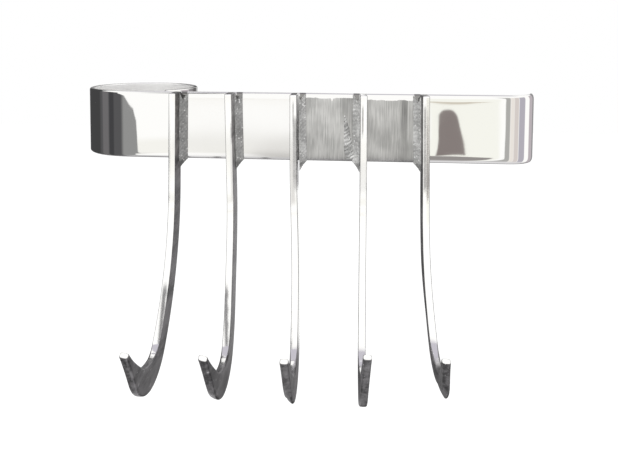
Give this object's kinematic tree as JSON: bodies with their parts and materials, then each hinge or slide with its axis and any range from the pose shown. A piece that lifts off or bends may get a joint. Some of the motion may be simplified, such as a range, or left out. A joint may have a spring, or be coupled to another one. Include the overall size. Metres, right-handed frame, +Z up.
{
  "type": "wall hook rack",
  "caption": "Wall hook rack: an upright flat bar with a rolled ring at one end and a bent other end, carrying edge-on plate hooks that sweep forward into broad upturned beaks.",
  "frame": {"origin": "on the axis of the rolled ring, at half the bar's height", "axes": "+X along the bar away from the ring, +Y backwards away from the hooks, +Z up along the ring's axis"},
  "size_m": [0.2755, 0.1642, 0.1512],
  "materials": {
    "polished_steel": "polished stainless steel, mirror bright at the bar's ends and satin brushed between the hooks",
    "weld_metal": "matte ground weld metal"
  },
  "bodies": {
    "root": {"band": "polished_steel", "hook_1": "polished_steel", "hook_2": "polished_steel", "hook_3": "polished_steel", "hook_4": "polished_steel", "hook_5": "polished_steel", "ring_seam_weld": "weld_metal", "hook_4_rough_bead": "weld_metal", "hook_1_weld": "weld_metal", "hook_2_weld": "weld_metal", "hook_3_weld": "weld_metal", "hook_4_weld": "weld_metal", "hook_5_weld": "weld_metal"}
  },
  "joints": []
}
